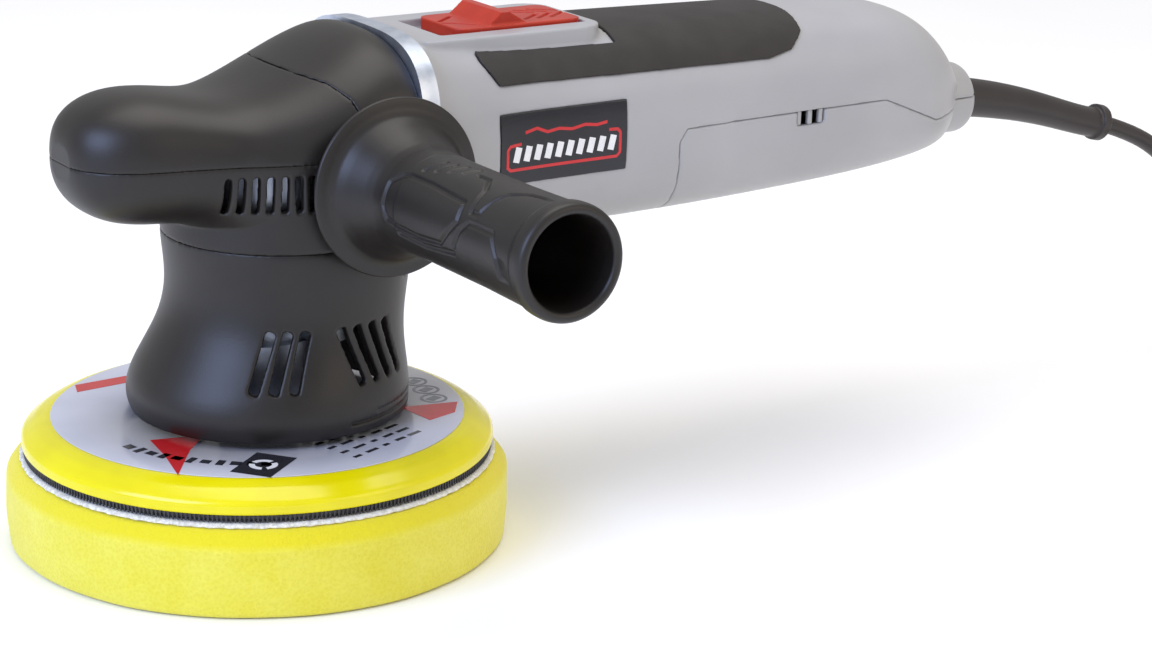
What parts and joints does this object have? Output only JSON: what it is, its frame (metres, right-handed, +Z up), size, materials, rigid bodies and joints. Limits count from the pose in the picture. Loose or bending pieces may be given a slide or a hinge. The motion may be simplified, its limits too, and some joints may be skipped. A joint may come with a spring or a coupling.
{
  "type": "dual action polisher",
  "caption": "Mains dual action polisher: yellow foam pad on an eccentric drive, black gear head with side handle, grey motor body with slide switch and cord.",
  "frame": {"origin": "on the drive spindle's axis, at the working face of the foam pad", "axes": "+Z up along the spindle, +X towards the mains cord, -Y towards the side handle"},
  "size_m": [0.6113, 0.2251, 0.1636],
  "materials": {
    "foam": "open-cell polyurethane foam, soft",
    "loop_fabric": "brushed loop velour",
    "hook_fabric": "moulded nylon hooks",
    "plate_yellow": "cast polyurethane, glossy",
    "label": "printed vinyl disc, glossy",
    "steel": "ground and turned steel",
    "zinc": "zinc plated",
    "aluminium_cast": "die cast and machined",
    "gear_steel": "hardened and oiled",
    "black_cover": "soft-touch overmoulded nylon, fine grain",
    "grey_body": "light grey ABS, satin",
    "black_rubber": "thermoplastic rubber, matt",
    "switch_red": "red orange acetal",
    "badge": "printed foil, glossy",
    "copper": "enamelled copper wire",
    "brass": "pressed brass",
    "laminations": "stacked electrical steel",
    "carbon": "pressed carbon",
    "black_plastic": "glass-filled nylon",
    "white_plastic": "glass-filled polyester",
    "cord_jacket": "rubber cord sheath"
  },
  "bodies": {
    "housing": {"gear_case": "aluminium_cast", "gear_case_flange": "aluminium_cast", "gear_case_screws": "steel", "nose_cover": "black_cover", "rear_top_cover": "black_cover", "lower_head_cover": "black_cover", "shroud": "black_cover", "motor_housing": "grey_body", "lower_rear_cover": "grey_body", "vent_grille": "grey_body", "grip_inlay": "black_rubber", "badge_plate": "badge", "switch_module": "black_plastic", "speed_control": "white_plastic", "suppressor_capacitor": "black_plastic", "side_handle_grip": "black_cover", "side_handle_bolt": "steel", "cord_boot": "black_rubber", "cord_clamp": "white_plastic", "cord_clamp_screws": "steel", "cord_lead": "cord_jacket", "cord_coil": "cord_jacket", "cord_tail": "cord_jacket", "plug_body": "cord_jacket", "plug_pins": "brass", "field_core": "laminations", "field_coils": "copper", "air_baffle": "white_plastic", "brush_holders": "brass", "carbon_brushes": "carbon", "brush_springs": "steel", "spindle_bearing": "steel", "needle_bearing": "steel", "front_bearing": "steel", "rear_bearing": "steel", "bearing_bush": "black_rubber"},
    "armature": {"armature_shaft": "steel", "armature_core": "laminations", "armature_windings": "copper", "commutator": "copper", "cooling_fan": "black_plastic", "bevel_pinion": "gear_steel"},
    "spindle": {"drive_spindle": "steel", "spacer_sleeve": "steel", "gear_nut": "steel", "crown_gear": "gear_steel", "eccentric_housing": "aluminium_cast", "counterweight": "zinc", "counterweight_screws": "steel", "pad_bearings": "steel"},
    "pad": {"foam_pad": "foam", "loop_layer": "loop_fabric", "hook_layer": "hook_fabric", "backing_plate": "plate_yellow", "label_disc": "label", "plate_stud": "steel", "pad_arbor": "steel"},
    "switch": {"switch_slider": "switch_red", "switch_rod": "black_plastic"},
    "dial": {"speed_dial": "black_plastic"}
  },
  "joints": [
    {"name": "spindle_spin", "type": "hinge", "parent": "housing", "child": "spindle", "pos_m": [0, 0, 0.08], "axis": [0, 0, 1], "continuous": true},
    {"name": "motor_spin", "type": "hinge", "parent": "housing", "child": "armature", "pos_m": [0.1, 0, 0.124], "axis": [1, 0, 0], "continuous": true},
    {"name": "pad_spin", "type": "hinge", "parent": "spindle", "child": "pad", "pos_m": [-0.004, 0, 0.05], "axis": [0, 0, 1], "continuous": true},
    {"name": "switch_slide", "type": "slide", "parent": "housing", "child": "switch", "axis": [-1, 0, 0], "range_m": [0, 0.006]},
    {"name": "dial_turn", "type": "hinge", "parent": "housing", "child": "dial", "pos_m": [0.221, 0.021, 0.136], "axis": [0, 0, 1], "range_deg": [0, 280]}
  ],
  "couplings": [
    {"joint": "motor_spin", "follows": "spindle_spin", "ratio": 3.8}
  ]
}
